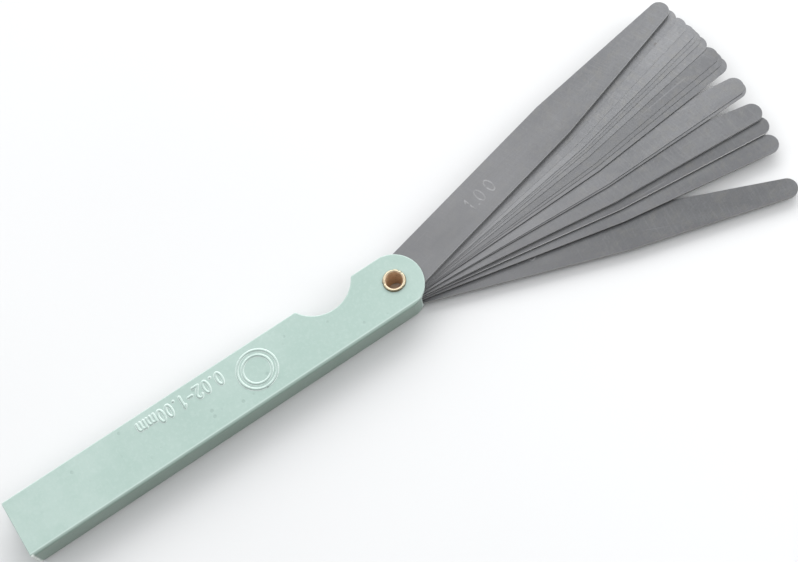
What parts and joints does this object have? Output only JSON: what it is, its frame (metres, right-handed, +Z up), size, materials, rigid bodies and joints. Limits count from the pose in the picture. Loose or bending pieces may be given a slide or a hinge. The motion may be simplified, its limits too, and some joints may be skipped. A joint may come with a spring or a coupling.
{
  "type": "feeler gauge",
  "caption": "Feeler gauge: tapered spring-steel leaves of stepped thickness fan out on a hollow rivet from a folded, painted sheet-steel case with a thumb notch.",
  "frame": {"origin": "on the rivet's axis, level with the underside of the case", "axes": "+Z up along the rivet's axis; the case runs along -X with its spine on the -Y side and its open edge on the +Y side; the leaves fan out towards +X"},
  "size_m": [0.2038, 0.0605, 0.008],
  "materials": {
    "green_enamel": "semi-gloss pale mint-green paint",
    "brass": "bright, slightly tarnished",
    "spring_steel": "ground lengthwise, lightly oiled"
  },
  "bodies": {
    "case": {"case_shell": "green_enamel", "pivot_rivet": "brass"},
    "blade_1_00": {"blade_1_00": "spring_steel"},
    "blade_0_02": {"blade_0_02": "spring_steel"},
    "blade_0_03": {"blade_0_03": "spring_steel"},
    "blade_0_04": {"blade_0_04": "spring_steel"},
    "blade_0_05": {"blade_0_05": "spring_steel"},
    "blade_0_06": {"blade_0_06": "spring_steel"},
    "blade_0_07": {"blade_0_07": "spring_steel"},
    "blade_0_08": {"blade_0_08": "spring_steel"},
    "blade_0_09": {"blade_0_09": "spring_steel"},
    "blade_0_10": {"blade_0_10": "spring_steel"},
    "blade_0_15": {"blade_0_15": "spring_steel"},
    "blade_0_20": {"blade_0_20": "spring_steel"},
    "blade_0_25": {"blade_0_25": "spring_steel"},
    "blade_0_30": {"blade_0_30": "spring_steel"},
    "blade_0_40": {"blade_0_40": "spring_steel"},
    "blade_0_50": {"blade_0_50": "spring_steel"},
    "blade_0_75": {"blade_0_75": "spring_steel"}
  },
  "joints": [
    {"name": "swing_1_00", "type": "hinge", "parent": "case", "child": "blade_1_00", "pos_m": [0, 0, 0], "axis": [0, 0, 1], "range_deg": [-34.1, 166.9]},
    {"name": "swing_0_02", "type": "hinge", "parent": "case", "child": "blade_0_02", "pos_m": [0, 0, 0], "axis": [0, 0, 1], "range_deg": [-32.7, 168.3]},
    {"name": "swing_0_03", "type": "hinge", "parent": "case", "child": "blade_0_03", "pos_m": [0, 0, 0], "axis": [0, 0, 1], "range_deg": [-30.7, 170.3]},
    {"name": "swing_0_04", "type": "hinge", "parent": "case", "child": "blade_0_04", "pos_m": [0, 0, 0], "axis": [0, 0, 1], "range_deg": [-29.1, 171.9]},
    {"name": "swing_0_05", "type": "hinge", "parent": "case", "child": "blade_0_05", "pos_m": [0, 0, 0], "axis": [0, 0, 1], "range_deg": [-28.5, 172.5]},
    {"name": "swing_0_06", "type": "hinge", "parent": "case", "child": "blade_0_06", "pos_m": [0, 0, 0], "axis": [0, 0, 1], "range_deg": [-27.8, 173.2]},
    {"name": "swing_0_07", "type": "hinge", "parent": "case", "child": "blade_0_07", "pos_m": [0, 0, 0], "axis": [0, 0, 1], "range_deg": [-26.5, 174.5]},
    {"name": "swing_0_08", "type": "hinge", "parent": "case", "child": "blade_0_08", "pos_m": [0, 0, 0], "axis": [0, 0, 1], "range_deg": [-24.1, 176.9]},
    {"name": "swing_0_09", "type": "hinge", "parent": "case", "child": "blade_0_09", "pos_m": [0, 0, 0], "axis": [0, 0, 1], "range_deg": [-23.2, 177.8]},
    {"name": "swing_0_10", "type": "hinge", "parent": "case", "child": "blade_0_10", "pos_m": [0, 0, 0], "axis": [0, 0, 1], "range_deg": [-22.1, 178.9]},
    {"name": "swing_0_15", "type": "hinge", "parent": "case", "child": "blade_0_15", "pos_m": [0, 0, 0], "axis": [0, 0, 1], "range_deg": [-18, 183]},
    {"name": "swing_0_20", "type": "hinge", "parent": "case", "child": "blade_0_20", "pos_m": [0, 0, 0], "axis": [0, 0, 1], "range_deg": [-17.5, 183.5]},
    {"name": "swing_0_25", "type": "hinge", "parent": "case", "child": "blade_0_25", "pos_m": [0, 0, 0], "axis": [0, 0, 1], "range_deg": [-13.2, 187.8]},
    {"name": "swing_0_30", "type": "hinge", "parent": "case", "child": "blade_0_30", "pos_m": [0, 0, 0], "axis": [0, 0, 1], "range_deg": [-13.2, 187.8]},
    {"name": "swing_0_40", "type": "hinge", "parent": "case", "child": "blade_0_40", "pos_m": [0, 0, 0], "axis": [0, 0, 1], "range_deg": [-11.1, 189.9]},
    {"name": "swing_0_50", "type": "hinge", "parent": "case", "child": "blade_0_50", "pos_m": [0, 0, 0], "axis": [0, 0, 1], "range_deg": [-8.1, 192.9]},
    {"name": "swing_0_75", "type": "hinge", "parent": "case", "child": "blade_0_75", "pos_m": [0, 0, 0], "axis": [0, 0, 1], "range_deg": [-1, 200]}
  ]
}
